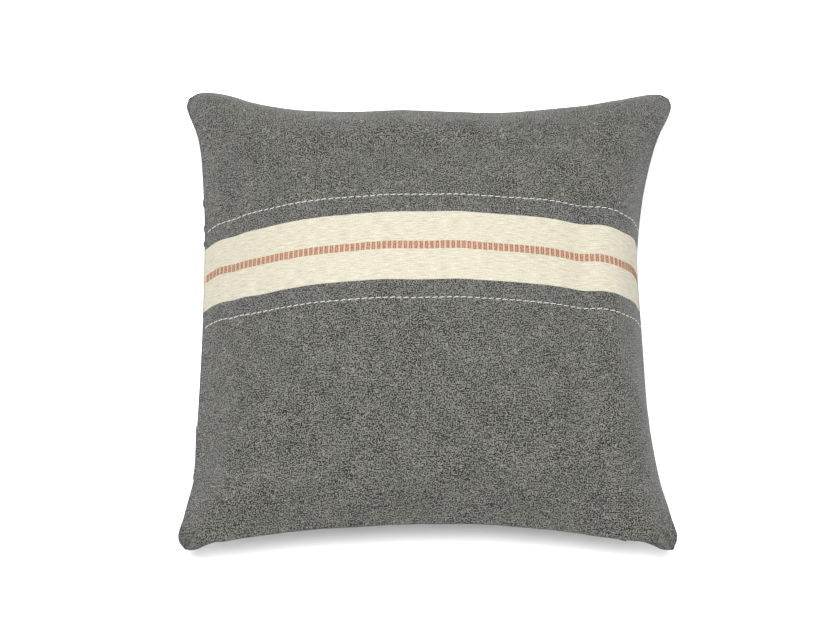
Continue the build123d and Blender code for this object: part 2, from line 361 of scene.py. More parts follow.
def pucker(grid, sign, phase):
    """Shallow gathers that run in from the seams, and a little unevenness over the whole face."""
    n = grid.shape[0]
    share = np.linspace(-1, 1, n)
    u, v = np.meshgrid(share, share, indexing="ij")
    half = FLAT / 2 / MM
    lift = np.zeros_like(u)
    for k, (d, s) in enumerate(((1 + v, u), (1 - v, u), (1 + u, v), (1 - u, v))):
        d, s = d * half, s * half
        fine = np.sin(s / 4.1 + phase + k) + 0.8 * np.sin(s / 6.7 + 2.3 * k)
        fine = fine + 0.6 * np.sin(s / 2.7 + 1.7 * k + phase)
        wide = np.sin(s / 13.0 + 1.1 * k + phase) + 0.7 * np.sin(s / 21.0 + 2.9 * k)
        for wave, (height, reach, start) in ((fine, FINE_GATHERS), (wide, WIDE_GATHERS)):
            lift += height * wave * np.exp(-d / reach) * (1 - np.exp(-d / start))
    for corner_u, corner_v, depth in EAR_CREASES:
        run = (2 - u * corner_u - v * corner_v) * half / math.sqrt(2)
        off = (u * corner_u - v * corner_v) * half / math.sqrt(2)
        lift -= depth * np.exp(-((off / CREASE_WIDTH) ** 2) - ((run - CREASE_MIDDLE) / CREASE_LENGTH) ** 2)
    lift += FACE_WAVE * np.sin(u * 7.3 + v * 3.1 + phase) * np.sin(v * 6.1 - u * 2.7 + 1.3 * phase)
    grid += normals(grid, sign) * (lift * MM)[..., None]


class Sheet:
    """A finished face of the cover that can be asked for a place and a normal at fabric shares."""

    def __init__(self, grid, sign):
        self.grid, self.normal = grid, normals(grid, sign)
        self.cells = grid.shape[0] - 1

    def at(self, u, v):
        """Place and normal at shares from -1 to 1 across and along the panel."""
        x = np.clip((u + 1) / 2 * self.cells, 0, self.cells - 1e-6)
        y = np.clip((v + 1) / 2 * self.cells, 0, self.cells - 1e-6)
        i, j = x.astype(int), y.astype(int)
        a, b = (x - i)[..., None], (y - j)[..., None]
        found = []
        for field in (self.grid, self.normal):
            low = field[i, j] * (1 - a) + field[i + 1, j] * a
            high = field[i, j + 1] * (1 - a) + field[i + 1, j + 1] * a
            found.append(low * (1 - b) + high * b)
        return found

    def share_at_y(self, y):
        """Share along the middle line of the panel at which it reaches a Y."""
        line = self.grid[self.cells // 2, :, 1]
        return float(np.interp(y, line, np.linspace(-1, 1, self.cells + 1)))


# The lip over the zipper, in millimetres: where it starts and is full, from the seam; how fast it fades
# up the face; how far from the middle it has ended, and over what length it ends.
LIP_START, LIP_RISE, LIP_FULL, LIP_FADE = 2.2, 5, 8, 14
LIP_END, LIP_RUNOUT = 242, 46


def hang_lip(grid):
    """Lets the front panel bulge out over the zipper, which it hides."""
    n = grid.shape[0]
    d = np.linspace(0, FLAT, n)[None, :] / MM
    x = np.abs(grid[:, :1, 0]) / MM
    swell = np.clip((d - LIP_START) / LIP_RISE, 0, 1) ** 2
    swell = swell * np.exp(-np.clip(d - LIP_FULL, 0, None) / LIP_FADE)
    t = np.clip((LIP_END - x) / LIP_RUNOUT, 0, 1)
    grid[..., 1] -= LIP * swell * t * t * (3 - 2 * t)


def rest_on_floor(grid):
    """Fills the back panel out onto the floor, which flattens it."""
    share = np.abs(np.linspace(-1, 1, grid.shape[0])) ** FLAT_BASE
    inner = (1 - share[:, None]) * (1 - share[None, :])
    hang = np.clip(SEAM_Z - grid[..., 2], 0, None)
    z = grid[..., 2] - hang * inner * (SAG * SEAM_Z / hang.max() - 1)
    z = (z + np.sqrt(z * z + FLOOR_EASE**2)) / 2
    grid[..., 2] = z - z.min() * inner


def make_cover():
    """Simulated, fitted and refined front and back sheets."""
    front, back = simulate_cover(SIM_FRAMES)
    for grid in (front, back):
        relax(grid, RELAX_ROUNDS)
    fit_edges(front, back)
    rise = front[..., 2] - SEAM_Z
    front[..., 2] += np.clip(rise / rise.max(), 0, 1) * (CROWN_Z - SEAM_Z - rise.max())
    front, back = (refined(grid, FINE) for grid in (front, back))
    front, back = (crept(evened(evened(grid).swapaxes(0, 1)).swapaxes(0, 1)) for grid in (front, back))
    hang_lip(front)
    pucker(front, 1, 0.4)
    pucker(back, -1, 1.9)
    for grid in (front, back):
        round_ears(grid)
    rest_on_floor(back)
    return Sheet(front, 1), Sheet(back, -1)


# ---- meshes ------------------------------------------------------------------------------------------
def add_mesh(name, vertices, faces, uvs=None, smooth=True):
    """A mesh object, with a map of fabric metres where uvs are given per vertex."""
    mesh = bpy.data.meshes.new(name)
    faces = faces.tolist() if isinstance(faces, np.ndarray) else faces
    mesh.from_pydata(np.asarray(vertices).tolist(), [], faces)
    if uvs is not None:
        corner = np.empty(len(mesh.loops), np.int32)
        mesh.loops.foreach_get("vertex_index", corner)
        mesh.uv_layers.new(name="fabric").data.foreach_set("uv", np.asarray(uvs, np.float32)[corner].ravel())
    mesh.polygons.foreach_set("use_smooth", [smooth] * len(mesh.polygons))
    mesh.update()
    obj = bpy.data.objects.new(name, mesh)
    bpy.context.scene.collection.objects.link(obj)
    return obj


def thickened(obj, thickness, offset=-1):
    """The same sheet with real thickness, which goes inwards unless told otherwise."""
    solid = obj.modifiers.new("sheet_thickness", "SOLIDIFY")
    solid.thickness, solid.offset = thickness, offset
    return obj


def seam_loop(n):
    """Grid places round the seam, anticlockwise seen from above, from the corner at -X -Y."""
    last = n - 1
    run = range(last)
    loop = [(i, 0) for i in run] + [(last, j) for j in run]
    return np.array(loop + [(last - i, last) for i in run] + [(0, last - j) for j in run])


def inward_of(points):
    """Unit directions in plan from each point of an anticlockwise loop towards its inside."""
    ahead = np.roll(points, -3, 0)[:, :2] - np.roll(points, 3, 0)[:, :2]
    inward = np.stack([-ahead[:, 1], ahead[:, 0]], -1)
    return inward / np.linalg.norm(inward, axis=1, keepdims=True)


# Turned-in cloth behind the seam: (depth, height above the seam) in millimetres.
CLOSED_TURN = ((0, 0.05), (1.2, 0.06), (4, 0.06), (7.5, 0.08), (11, 0.1))
ZIPPED_TURN = ((0, 0.9), (1.2, 0.9), (5.6, 1.0), (5.95, 1.8), (5.95, 6.0))
SLIT_ROOM = 4 * MM  # how far the slit runs on past the zipper's ends
FOLD_BLEND = 5 * MM  # length over which the zipper fold becomes the closed seam's turn
CORNER_TRIM, LEAST_TURN = 40 * MM, 0.25  # the turns narrow to this share over this length at a corner


def panel(name, sheet, sign):
    """One cover panel with real thickness: its face, its turned seam allowances and its zipper fold."""
    grid = sheet.grid
    n = grid.shape[0]
    loop = seam_loop(n)
    ids = np.arange(n * n).reshape(n, n)
    edge_ids = ids[loop[:, 0], loop[:, 1]]
    edge = grid[loop[:, 0], loop[:, 1]]
    share = np.stack([loop[:, 0], loop[:, 1]], -1) / (n - 1) * 2 - 1
    inward = inward_of(edge)
    zipped = (loop[:, 1] == 0) * np.clip((ZIP_HALF + SLIT_ROOM - np.abs(edge[:, 0])) / FOLD_BLEND, 0, 1)
    to_corner = (1 - np.abs(share).min(1)) * FLAT / 2
    narrow = np.clip(to_corner / CORNER_TRIM, LEAST_TURN, 1)
    vertices = grid.reshape(-1, 3).copy()
    flat = np.stack(np.meshgrid(*[np.linspace(-FLAT / 2, FLAT / 2, n)] * 2, indexing="ij"), -1).reshape(-1, 2)
    uvs, faces = [flat], [grid_faces(ids.ravel())]
    rings, ring_ids = [], [edge_ids]
    for k, (closed, zip_turn) in enumerate(zip(CLOSED_TURN, ZIPPED_TURN)):
        depth, rise = (closed[c] + (zip_turn[c] - closed[c]) * zipped for c in (0, 1))
        depth = depth * narrow
        place = np.column_stack([edge[:, :2] + inward * (depth * MM)[:, None], edge[:, 2] + sign * rise * MM])
        if k == 0:
            vertices[edge_ids] = place
            continue
        rings.append(place)
        uvs.append(flat[edge_ids] - inward * (depth * MM)[:, None])
        new_ids = n * n + (k - 1) * len(loop) + np.arange(len(loop))
        old_ids = ring_ids[-1]
        faces.append(np.stack([np.roll(old_ids, -1), old_ids, new_ids, np.roll(new_ids, -1)], -1))
        ring_ids.append(new_ids)
    faces = np.concatenate(faces)[:, ::sign]
    obj = add_mesh(name, np.concatenate([vertices, *rings]), faces, np.concatenate(uvs))
    return thickened(obj, CLOTH)


# ---- surface yarns -----------------------------------------------------------------------------------
FLOAT_STATIONS, FLOAT_SIDES = 9, 8
FLOAT_RISE, FLOAT_DIP = 0.35, 0.75  # how high its middle lies and its ends dip, as shares of its height


def yarn_floats(name, sheet, middles, half_length, half_width, height, slant=0.0):
    """Short lengths of yarn that rise from the cloth and dip back into it, one at each fabric place."""
    stations = np.linspace(-1, 1, FLOAT_STATIONS)
    turns = np.linspace(0, 2 * math.pi, FLOAT_SIDES, endpoint=False)
    s, a = np.meshgrid(stations, turns, indexing="ij")
    girth = np.sqrt(np.clip(1.02 - s**4, 0, 1))
    x = s * half_length
    y = np.cos(a) * half_width * girth + slant * s
    z = np.sin(a) * height / 2 * girth + height * (FLOAT_RISE - FLOAT_DIP * s**4)
    middles = np.asarray(middles)
    half = FLAT / 2
    u = (middles[:, 0, None, None] + x) / half
    v = (middles[:, 1, None, None] + y) / half
    place, normal = sheet.at(u, v)
    vertices = (place + normal * z[None, ..., None]).reshape(-1, 3)
    rows, around = s.shape
    size = rows * around
    ids = np.arange(size).reshape(rows, around)
    beside = np.roll(ids, -1, axis=1)
    one = np.stack([ids[1:], beside[1:], beside[:-1], ids[:-1]], -1).reshape(-1, 4)
    faces = (one[None] + np.arange(len(middles))[:, None, None] * size).reshape(-1, 4).tolist()
    for k in range(len(middles)):
        faces.append(tuple(k * size + np.arange(around)))
        faces.append(tuple(k * size + size - 1 - np.arange(around)))
    return add_mesh(name, vertices, faces, np.stack([u * half, v * half], -1).reshape(-1, 2))


# Half length, half width and height of one float, then how unevenly the floats lie.
DASH = (3.0 * MM, 0.45 * MM, 0.75 * MM)
DASH_PITCH, DASH_SLANT = 6.95 * MM, 0.35 * MM
DASH_SHIFT, DASH_STRAY = 0.25 * MM, 0.12 * MM
RUST = (0.92 * MM, 0.72 * MM, 0.7 * MM)
BLOCK_PITCH, BLOCK_SPLIT = 5.3 * MM, 0.95 * MM
BLOCK_ROWS, BLOCK_STEP = 5, 1.65 * MM
RUST_SHIFT, RUST_STRAY = 0.18 * MM, 0.15 * MM


def row_places(pitch, reach=FLAT / 2 - 2 * MM):
    """Evenly spaced fabric places from side seam to side seam."""
    count = int(2 * reach / pitch)
    return (np.arange(count) - (count - 1) / 2) * pitch


def dash_row(name, sheet, v, rng):
    """The cream yarn's dashes along one row."""
    x = row_places(DASH_PITCH)
    x = x + rng.uniform(-DASH_SHIFT, DASH_SHIFT, len(x))
    middles = np.stack([x, v + rng.uniform(-DASH_STRAY, DASH_STRAY, len(x))], -1)
    return yarn_floats(name, sheet, middles, *DASH, slant=DASH_SLANT)


def rust_row(name, sheet, v, rng):
    """Blocks of short rust floats, a few picks high."""
    middles = []
    for x in row_places(BLOCK_PITCH):
        for k in range(BLOCK_ROWS):
            rise = (k - (BLOCK_ROWS - 1) / 2) * BLOCK_STEP
            for side in (-1, 1):
                shift = side * BLOCK_SPLIT + rng.uniform(-RUST_SHIFT, RUST_SHIFT)
                middles.append((x + shift, v + rise + rng.uniform(-RUST_STRAY, RUST_STRAY)))
    return yarn_floats(name, sheet, middles, *RUST)


# ---- thread, coils and fibres ------------------------------------------------------------------------
OVERLOCK_REACH = 0.83  # share of the seam that is wound, towards both corners
OVERLOCK_DEPTH = 9.3 * MM  # from the seam to the middle of the winding
OVERLOCK_HALF_WIDTH, OVERLOCK_HALF_HEIGHT = 2.2 * MM, 1.62 * MM
OVERLOCK_PITCH, OVERLOCK_THREAD = 2.6 * MM, 0.17 * MM
OVERLOCK_STEPS, COIL_STEPS = 14, 12  # points in one turn
OVERLOCK_SQUARE = 0.6  # below 1 the winding hugs the flat allowances
COIL_IN = 7.4 * MM  # from the zipped edge to the coil's axis
COIL_OFFSET = 1.55 * MM  # from the seam plane to the coil's axis
COIL_OUTER, COIL_WIRE, COIL_PITCH = 0.75 * MM, 0.2 * MM, 1.4 * MM
FIBRE = 0.09 * MM
FIBRE_COUNT, FIBRE_LENGTHS, FIBRE_LIFT = 46, (3 * MM, 9 * MM), 0.25 * MM


def unit(vectors):
    """The same directions at length one."""
    return vectors / np.maximum(np.linalg.norm(vectors, axis=-1, keepdims=True), 1e-12)


def tubes(name, runs, radius, sides=6):
    """Round strands along paths; each run is its points and a direction out from its axis at each."""
    turns = np.linspace(0, 2 * math.pi, sides, endpoint=False)[None, :, None]
    vertices, faces, start = [], [], 0
    for path, out in runs:
        ahead = unit(np.gradient(path, axis=0))
        side = unit(np.cross(ahead, out))
        out = np.cross(side, ahead)
        ring = np.cos(turns) * out[:, None] + np.sin(turns) * side[:, None]
        vertices.append((path[:, None] + radius * ring).reshape(-1, 3))
        ids = start + np.arange(len(path) * sides).reshape(-1, sides)
        beside = np.roll(ids, -1, axis=1)
        faces += np.stack([ids[:-1], beside[:-1], beside[1:], ids[1:]], -1).reshape(-1, 4).tolist()
        faces += [ids[0, ::-1].tolist(), ids[-1].tolist()]
        start += ids.size
    return add_mesh(name, np.concatenate(vertices), faces)


def overlock(name, sheet, side):
    """Thread wound over the raw edges of one closed seam's allowances."""
    turns = int(2 * OVERLOCK_REACH * FLAT / 2 / OVERLOCK_PITCH)
    share = np.linspace(-OVERLOCK_REACH, OVERLOCK_REACH, turns * OVERLOCK_STEPS)
    fixed = np.full_like(share, -1 if side == "left" else 1)
    edge = sheet.at(share, fixed)[0] if side == "top" else sheet.at(fixed, share)[0]
    ahead = unit(np.gradient(edge, axis=0))
    inward = np.stack([ahead[:, 1], -ahead[:, 0], np.zeros(len(edge))], -1) * (-1 if side == "right" else 1)
    spin = np.linspace(0, 2 * math.pi * turns, len(share))
    across, rise = (np.sign(f(spin)) * np.abs(f(spin)) ** OVERLOCK_SQUARE for f in (np.cos, np.sin))
    up = np.array((0, 0, 1.0))
    path = edge + inward * (OVERLOCK_DEPTH + OVERLOCK_HALF_WIDTH * across)[:, None]
    path = path + up * (OVERLOCK_HALF_HEIGHT * rise)[:, None]
    out = inward * np.cos(spin)[:, None] + up * np.sin(spin)[:, None]
    return tubes(name, [(path, out)], OVERLOCK_THREAD, 5)


def zipper_coil(name, side):
    """Monofilament coil of one zipper tape; side is 1 for the front tape and -1 for the back."""
    end = math.asin(ZIP_HALF / ARC_RADIUS)
    turns = round(2 * end * ARC_RADIUS / COIL_PITCH)
    angle = np.linspace(-end, end, turns * COIL_STEPS)
    spin = np.linspace(0, 2 * math.pi * turns, len(angle))
    inward = np.stack([np.sin(angle), np.cos(angle), np.zeros_like(angle)], -1)
    up = np.array((0, 0, side * 1.0))
    out = inward * np.cos(spin)[:, None] + up * np.sin(spin)[:, None]
    axis = np.array((ARC_X, ARC_Y, SEAM_Z)) + inward * (ARC_RADIUS + COIL_IN) + up * COIL_OFFSET
    return tubes(name, [(axis + out * (COIL_OUTER - COIL_WIRE), out)], COIL_WIRE, 6)


def stray_fibres(name, sheet, rng):
    """Loose pale hairs lying on the front."""
    runs = []
    for _ in range(FIBRE_COUNT):
        u, v = rng.uniform(-0.86, 0.86, 2)
        heading, bend = rng.uniform(0, 2 * math.pi), rng.normal(0, 1.6)
        s = np.linspace(0, 1, 12)
        length = rng.uniform(*FIBRE_LENGTHS) / (FLAT / 2)
        turn = heading + bend * s + 0.5 * np.sin(9 * s + heading)
        us = u + np.cumsum(np.cos(turn)) * length / len(s)
        vs = v + np.cumsum(np.sin(turn)) * length / len(s)
        place, normal = sheet.at(us, vs)
        runs.append((place + normal * (FIBRE + FIBRE_LIFT * np.sin(math.pi * s))[:, None], normal))
    return tubes(name, runs, FIBRE, 4)


# ---- inside the cover --------------------------------------------------------------------------------
# How much of the cover's face each form spans, and its gap to the cover.
INSERT_SHARE, INSERT_GAP = 0.93, 2.4 * MM
FILL_SHARE, FILL_GAP = 0.925, 3.4 * MM
INSERT_CELLS = 110
EDGE_FULLNESS = 14  # higher keeps the forms thick nearer to their edge
EDGE_KEEP = 0.12  # least share of the cover's thickness that a form keeps
TICKING, SATIN = 0.5 * MM, 0.2 * MM  # thicknesses
PARTING = 0.05 * MM  # keeps the two ticking faces apart, and the filling's two faces


def inner_form(front, back, share, gap):
    """Two grids that follow the cover from inside, at a gap, and meet round their own edge."""
    g = np.linspace(-1, 1, INSERT_CELLS + 1)
    u, v = np.meshgrid(g, g, indexing="ij")
    top, low = front.at(u * share, v * share)[0], back.at(u * share, v * share)[0]
    middle, half = (top + low) / 2, (top - low) / 2
    reach = np.linalg.norm(half, axis=-1, keepdims=True)
    closing = np.sqrt(np.clip((1 - np.abs(u) ** EDGE_FULLNESS) * (1 - np.abs(v) ** EDGE_FULLNESS), 0, 1))
    keep = half * closing[..., None] * np.maximum(1 - gap / np.maximum(reach, 1e-6), EDGE_KEEP)
    return middle + keep, middle - keep


def insert_ticking(name, grid, sign):
    """One face of the insert's cover."""
    n = grid.shape[0]
    grid = grid + np.array((0, 0, sign * PARTING))
    return thickened(add_mesh(name, grid.reshape(-1, 3), grid_faces(np.arange(n * n))[:, ::sign]), TICKING)


def filling(name, top, low):
    """The feather filling as one closed form."""
    n = top.shape[0]
    ids = np.arange(n * n).reshape(n, n)
    low_ids = ids + n * n
    loop = seam_loop(n)
    rim, low_rim = ids[loop[:, 0], loop[:, 1]], low_ids[loop[:, 0], loop[:, 1]]
    wall = np.stack([rim, low_rim, np.roll(low_rim, -1), np.roll(rim, -1)], -1)
    faces = np.concatenate([grid_faces(ids.ravel()), grid_faces(low_ids.ravel())[:, ::-1], wall])
    gap = np.array((0, 0, PARTING))
    return add_mesh(name, np.concatenate([(top + gap).reshape(-1, 3), (low - gap).reshape(-1, 3)]), faces)


# Folded strip of the label: (distance from the left edge, height below the seam) in millimetres.
LABEL_FOLD = (
    (4.5, -2.1), (8, -2.1), (12.5, -2.15), (13.5, -2.3), (13.9, -2.6),
    (13.5, -2.9), (12.5, -3.05), (8, -3.1), (4.5, -3.1),
)


def care_label(name, sheet):
    """Blank folded label that hangs inside the left seam."""
    low, high = (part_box("care_label")[c][1] for c in (0, 1))
    y = np.linspace(low, high, 13)
    edge = sheet.at(np.full_like(y, -1), y / HALF)[0]
    wave = 0.25 * MM * np.sin(np.linspace(0, 5, len(y)))
    rows = [
        np.stack([edge[:, 0] + d * MM, y, edge[:, 2] + h * MM - wave * (d > 8)], -1) for d, h in LABEL_FOLD
    ]
    ids = np.arange(len(rows) * len(y)).reshape(len(rows), len(y))
    faces = np.stack([ids[:-1, :-1], ids[:-1, 1:], ids[1:, 1:], ids[1:, :-1]], -1).reshape(-1, 4)
    return thickened(add_mesh(name, np.concatenate(rows), faces), SATIN, offset=0)


# ---- materials ---------------------------------------------------------------------------------------
RIDGE_SCALE = 0.314  # scale at which the wave texture has one ridge per unit


class Nodes:
    """Small helper that builds one node material."""

    def __init__(self, name, roughness=0.85, **surface):
        self.material = bpy.data.materials.new(name)
        self.material.use_nodes = True
        self.tree = self.material.node_tree
        self.shader = self.tree.nodes["Principled BSDF"]
        self.shader.inputs["Roughness"].default_value = roughness
        for key, value in surface.items():
            self.shader.inputs[key.replace("_", " ")].default_value = value

    def add(self, kind, inputs=(), **settings):
        """One node; inputs that are sockets are linked, others are set."""
        node = self.tree.nodes.new(kind)
        for key, value in settings.items():
            setattr(node, key, value)
        for key, value in dict(inputs).items():
            if isinstance(value, bpy.types.NodeSocket):
                self.tree.links.new(value, node.inputs[key])
            else:
                node.inputs[key].default_value = value
        return node

    def math(self, operation, a, b=0.0):
        """One sum, product or other operation on two values."""
        return self.add("ShaderNodeMath", {0: a, 1: b}, operation=operation).outputs[0]

    def mix(self, amount, a, b):
        """Colour between a and b."""
        node = self.add("ShaderNodeMix", data_type="RGBA")
        for socket, value in ((node.inputs["Factor"], amount), (node.inputs[6], a), (node.inputs[7], b)):
            if isinstance(value, bpy.types.NodeSocket):
                self.tree.links.new(value, socket)
            else:
                socket.default_value = value
        return node.outputs[2]

    def fabric(self, scale=(1, 1, 1)):
        """Fabric coordinates in millimetres, stretched by a scale."""
        uv = self.add("ShaderNodeUVMap", uv_map="fabric").outputs[0]
        stretch = [1 / MM * s for s in scale]
        return self.add("ShaderNodeMapping", {"Vector": uv, "Scale": stretch}).outputs[0]

    def noise(self, vector, scale, detail=2.0, roughness=0.6):
        """Noise value; with fabric coordinates the scale is in cells per millimetre."""
        inputs = {"Vector": vector, "Scale": scale, "Detail": detail, "Roughness": roughness}
        return self.add("ShaderNodeTexNoise", inputs).outputs[0]

    def ramp(self, value, low, high):
        """Share of the way from low to high, clamped; high may be the smaller one."""
        inputs = {"Value": value, "From Min": low, "From Max": high}
        return self.add("ShaderNodeMapRange", inputs).outputs[0]

    def wave(self, vector, direction, period):
        """Ridges across one direction of the cloth, one per yarn."""
        inputs = {"Vector": vector, "Scale": RIDGE_SCALE / period, "Distortion": 1.2}
        inputs.update({"Detail": 2.0, "Detail Scale": 0.6})
        return self.add("ShaderNodeTexWave", inputs, bands_direction=direction).outputs[0]

    def finish(self, color, height, strength, distance):
        """Connects the colour and the bump, and returns the material."""
        self.tree.links.new(color, self.shader.inputs["Base Color"])
        bump = self.add("ShaderNodeBump", {"Height": height, "Strength": strength, "Distance": distance})
        self.tree.links.new(bump.outputs[0], self.shader.inputs["Normal"])
        return self.material


CLOTH_SURFACE = {
    "roughness": 0.92,
    "Sheen_Weight": 0.08,
    "Sheen_Roughness": 0.6,
    "Specular_IOR_Level": 0.15,
}
CLOTH_BUMP = (0.7, 0.6 * MM)  # strength and depth


def grey(value, warm=0.0):
    """A grey, turned warm by taking some of its green and more of its blue."""
    return (value, value * (1 - warm / 4), value * (1 - warm), 1)


def weave_height(m, fine, period):
    """Plain weave: warp and weft ridges that take turns on top."""
    warp, weft = m.wave(fine, "X", period), m.wave(fine, "Y", period)
    return m.math("MAXIMUM", warp, weft)


def melange(m):
    """Colour and height of the heathered slub yarns."""
    fine = m.fabric()
    fleck = m.noise(fine, 0.78, 1.0, 0.5)
    weft = m.noise(m.fabric((0.16, 0.95, 1)), 0.8, 2.0, 0.6)
    warp = m.noise(m.fabric((0.95, 0.16, 1)), 0.8, 2.0, 0.6)
    cloud = m.noise(fine, 0.035, 3.0, 0.55)
    tone = m.math("ADD", m.math("MULTIPLY", fleck, 1.0), m.math("MULTIPLY", weft, 0.32))
    tone = m.math("ADD", tone, m.math("MULTIPLY", warp, 0.22))
    tone = m.math("ADD", tone, m.math("MULTIPLY", cloud, 0.12))
    share = m.ramp(tone, 0.79, 0.885)
    color = m.mix(share, grey(0.002, 0.10), grey(0.102, 0.12))
    curl = m.math("ABSOLUTE", m.math("SUBTRACT", m.noise(fine, 0.3, 1.5, 0.5), 0.5))
    strand = m.math("MULTIPLY", m.ramp(curl, 0.03, 0.0), m.ramp(m.noise(fine, 0.16, 2.0), 0.5, 0.62))
    color = m.mix(m.math("MULTIPLY", strand, 0.6), color, grey(0.225, 0.12))
    tint = m.ramp(m.noise(fine, 0.028, 2.0), 0.4, 0.62)
    color = m.mix(m.math("MULTIPLY", tint, 0.12), color, (0.038, 0.052, 0.038, 1))
    hair = m.ramp(m.noise(m.fabric((0.5, 0.5, 1)), 1.9, 4.0, 0.8), 0.70, 0.78)
    color = m.mix(m.math("MULTIPLY", hair, 0.6), color, grey(0.30, 0.08))
    return color, m.math("ADD", tone, m.math("MULTIPLY", weave_height(m, fine, 1.05), 0.35))


def grey_cloth():
    """Heathered grey cloth, plain, for the back."""
    m = Nodes("grey_melange_cloth", **CLOTH_SURFACE)
    color, height = melange(m)
    return m.finish(color, height, *CLOTH_BUMP)


def striped_cloth(band_low, band_high, row_low, row_high, row_rust):
    """The front's cloth: grey, cooler between the dash rows, with the cream band woven in."""
    m = Nodes("striped_melange_cloth", **CLOTH_SURFACE)
    color, height = melange(m)
    fine = m.fabric()
    along = m.add("ShaderNodeSeparateXYZ", {0: fine}).outputs[1]
    ragged = m.math("ADD", along, m.math("MULTIPLY", m.noise(m.fabric((1.0, 0.2, 1)), 1.0), 0.9))

    def between(value, low, high, edge):
        up = m.ramp(value, low - edge, low + edge)
        down = m.ramp(value, high + edge, high - edge)
        return m.math("MULTIPLY", up, down)

    cool = between(along, row_low, row_high, 1.5)
    color = m.mix(m.math("MULTIPLY", cool, 0.08), color, (0.062, 0.064, 0.082, 1))
    band = between(ragged, band_low + 0.45, band_high + 0.45, 0.25)
    pick = m.noise(m.fabric((0.1, 1.1, 1)), 0.9, 3.0, 0.6)
    fleck = m.noise(fine, 0.9, 3.0, 0.7)
    shade = m.math("ADD", m.math("MULTIPLY", pick, 0.5), m.math("MULTIPLY", fleck, 0.5))
    cream = m.mix(m.ramp(shade, 0.36, 0.62), (0.205, 0.19, 0.15, 1), (0.37, 0.345, 0.275, 1))
    neps = m.ramp(m.noise(fine, 0.28, 3.0, 0.75), 0.69, 0.76)
    cream = m.mix(m.math("MULTIPLY", neps, 0.35), cream, (0.42, 0.38, 0.26, 1))
    bed = between(along, row_rust - 4.1, row_rust + 4.1, 0.5)
    cream = m.mix(m.math("MULTIPLY", bed, 0.6), cream, (0.30, 0.168, 0.105, 1))
    color = m.mix(band, color, cream)
    flat = m.math("MULTIPLY", m.math("ADD", shade, m.math("MULTIPLY", weave_height(m, fine, 0.8), 0.4)), 0.55)
    height = m.add("ShaderNodeMix", {0: band, 2: height, 3: flat}, data_type="FLOAT").outputs[0]
    return m.finish(color, height, *CLOTH_BUMP)


def yarn(name, dark, light):
    """Spun yarn: fine slanted ply with fleck."""
    m = Nodes(name, 0.88, Sheen_Weight=0.3, Specular_IOR_Level=0.2)
    ply = m.add("ShaderNodeMapping", {"Vector": m.fabric(), "Rotation": (0, 0, math.radians(35))}).outputs[0]
    ridges = m.wave(ply, "X", 0.45)
    fleck = m.noise(m.fabric(), 1.4, 3.0, 0.7)
    share = m.ramp(m.math("ADD", m.math("MULTIPLY", ridges, 0.4), fleck), 0.35, 0.95)
    return m.finish(m.mix(share, dark, light), m.math("ADD", ridges, fleck), 0.5, 0.2 * MM)


def solid_fibre(name, dark, light, grain=1.0, roughness=0.85, bump=0.4, **surface):
    """Plain textile or plastic without a fabric map: fleck and fine ribs by place in space."""
    m = Nodes(name, roughness, **surface)
    place = m.add("ShaderNodeTexCoord").outputs["Object"]
    space = m.add("ShaderNodeMapping", {"Vector": place, "Scale": [grain / MM] * 3}).outputs[0]
    fleck = m.noise(space, 0.8, 3.0, 0.65)
    ribs = m.wave(space, "DIAGONAL", 1.0)
    share = m.ramp(m.math("ADD", fleck, m.math("MULTIPLY", ribs, 0.3)), 0.4, 0.9)
    return m.finish(m.mix(share, dark, light), m.math("ADD", fleck, ribs), bump, 0.15 * MM)


def enamel():
    """Baked grey enamel on die cast zinc, rubbed at the wear spots."""
    m = Nodes("zipper_enamel", 0.38, Metallic=0.0, Coat_Weight=0.4, Coat_Roughness=0.25)
    place = m.add("ShaderNodeTexCoord").outputs["Object"]
    space = m.add("ShaderNodeMapping", {"Vector": place, "Scale": [1 / MM] * 3}).outputs[0]
    fleck = m.noise(space, 1.5, 4.0, 0.7)
    worn = m.ramp(m.noise(space, 0.5, 4.0, 0.8), 0.62, 0.72)
    color = m.mix(m.ramp(fleck, 0.3, 0.7), grey(0.045), grey(0.075))
    color = m.mix(m.math("MULTIPLY", worn, 0.5), color, grey(0.2))
    return m.finish(color, fleck, 0.15, 0.05 * MM)


def paint(obj, material):
    """Gives a piece one material."""
    obj.data.materials.clear()
    obj.data.materials.append(material)


# ---- stage, light and camera -------------------------------------------------------------------------
CAMERA_ELEVATION = 68.5  # degrees
CAMERA_DISTANCE = 5.8
FRAME_WIDTH = 840 * MM
AIM_X, AIM_Z, AIM_UP = -9 * MM, SEAM_Z - EAR_DROOP, 7 * MM
FLOOR_HALF = 8
WORLD_LIGHT = 0.9
KEY_PLACE, KEY_SIZE, KEY_POWER = (-0.12, -0.15, 3.0), 1.9, 200


